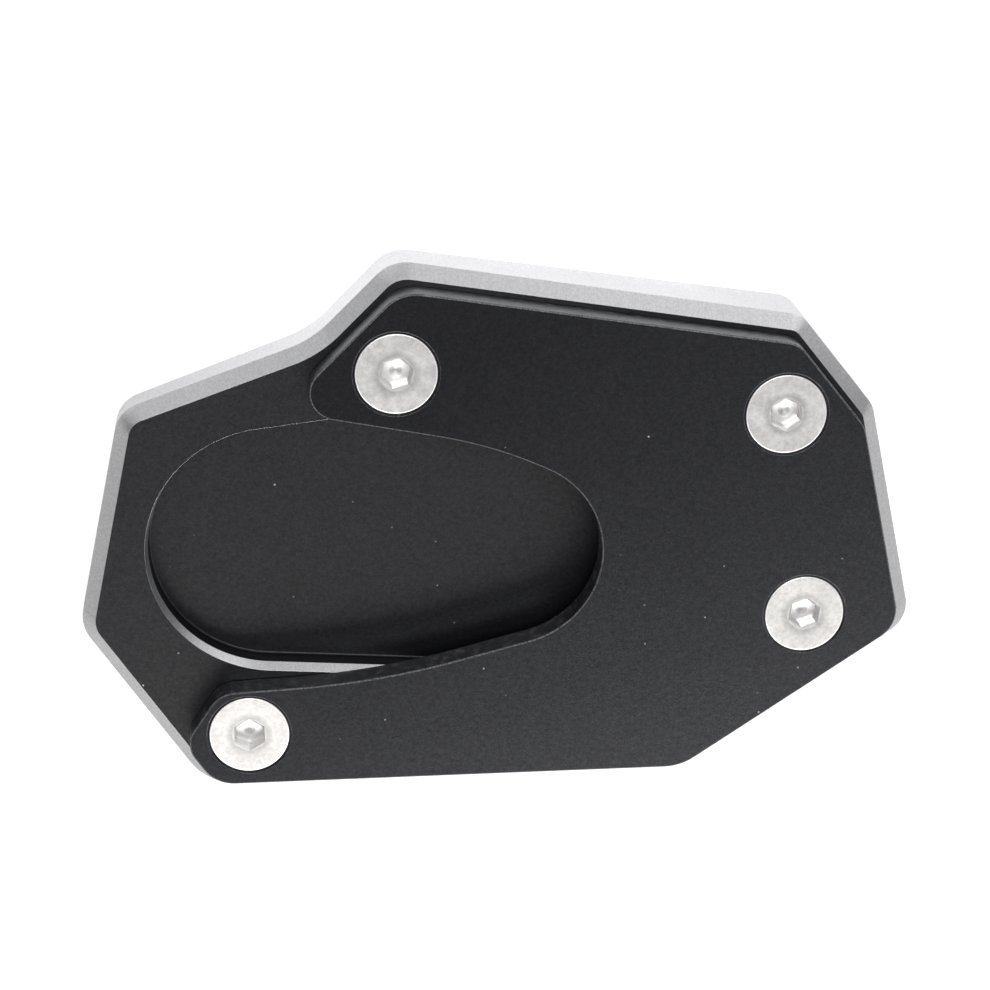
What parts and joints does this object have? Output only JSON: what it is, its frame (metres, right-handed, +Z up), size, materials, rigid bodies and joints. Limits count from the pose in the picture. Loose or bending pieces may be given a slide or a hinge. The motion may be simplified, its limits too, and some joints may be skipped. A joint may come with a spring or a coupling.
{
  "type": "kickstand foot enlarger",
  "caption": "Two-plate screw-on enlarger for the foot of a motorcycle side stand, with a foot pocket and an egg-shaped cut-out.",
  "frame": {"origin": "on the ground face, below the middle of the plates", "axes": "+Z up from the ground, +X from the open end towards the wide clamped end, +Y towards the back side"},
  "size_m": [0.1236, 0.0807, 0.0181],
  "materials": {
    "base_plate": "satin black anodised, bare machined edges",
    "clamp_plate": "satin black anodised",
    "clamp_screws": "stainless, lightly turned"
  },
  "bodies": {
    "root": {"base_plate": "base_plate", "clamp_plate": "clamp_plate", "clamp_screws": "clamp_screws"}
  },
  "joints": []
}
